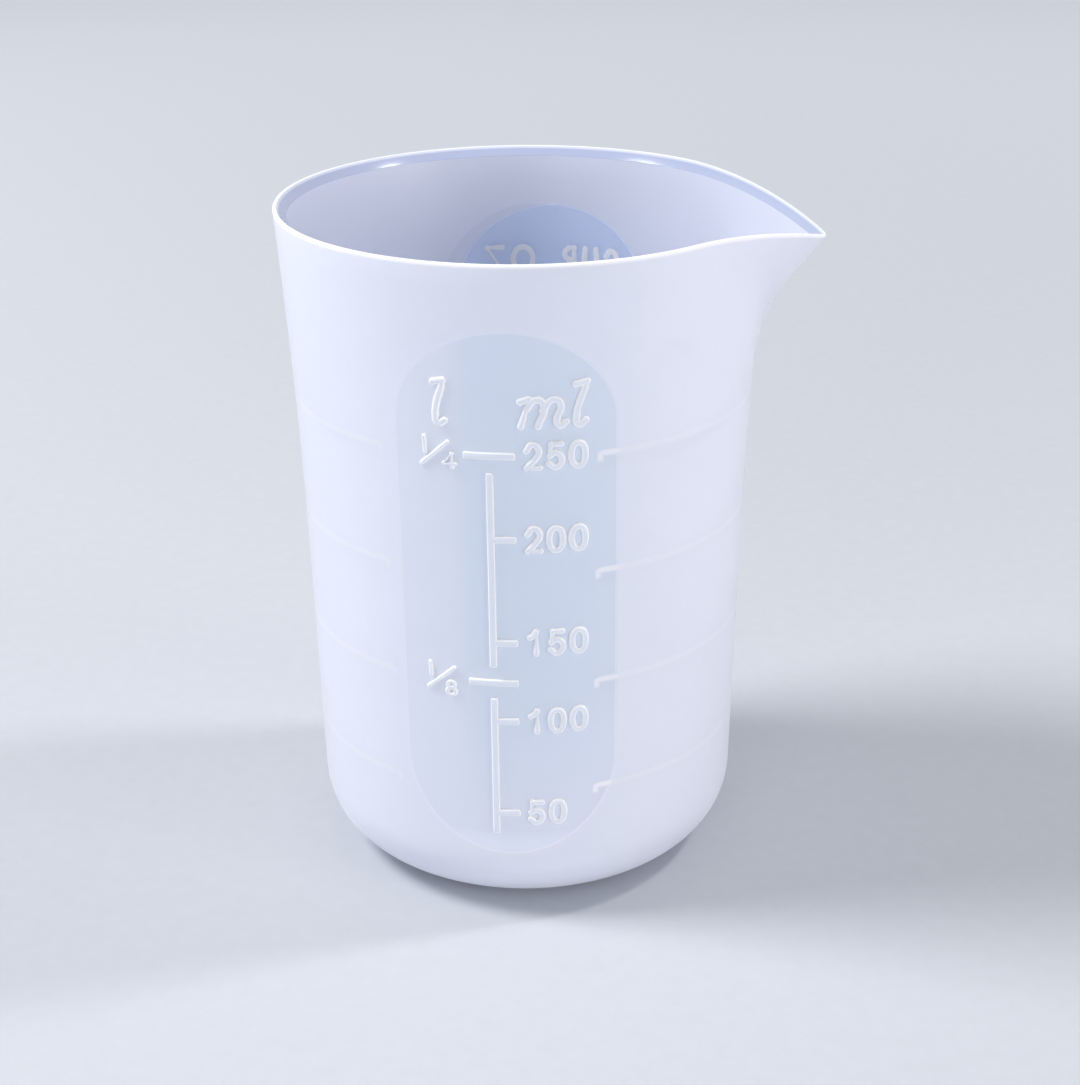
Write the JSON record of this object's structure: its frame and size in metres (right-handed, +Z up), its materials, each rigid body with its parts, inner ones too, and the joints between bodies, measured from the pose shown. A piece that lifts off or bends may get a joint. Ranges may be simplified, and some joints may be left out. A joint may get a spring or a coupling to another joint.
{
  "type": "resin mixing cup",
  "caption": "Soft translucent mixing cup: tapered round beaker with rounded foot, dipping pouring spout, clear windows with raised scales, and fill ribs inside.",
  "frame": {"origin": "centre of the flat underside, on the cup's axis", "axes": "+Z up along the cup's axis, -Y through the millilitre window, +X along the spout"},
  "size_m": [0.0835, 0.075, 0.1064],
  "materials": {
    "frosted_silicone": "soft translucent white silicone, finely frosted outside and smoother inside",
    "clear_silicone": "polished, faintly bluish see-through silicone"
  },
  "bodies": {
    "root": {"cup_base": "frosted_silicone", "frosted_wall": "frosted_silicone", "pouring_spout": "frosted_silicone", "rim_lip": "frosted_silicone", "front_window": "clear_silicone", "back_window": "clear_silicone", "millilitre_scale": "clear_silicone", "cup_and_ounce_scale": "clear_silicone", "spout_side_fill_ribs": "frosted_silicone", "far_side_fill_ribs": "frosted_silicone"}
  },
  "joints": []
}
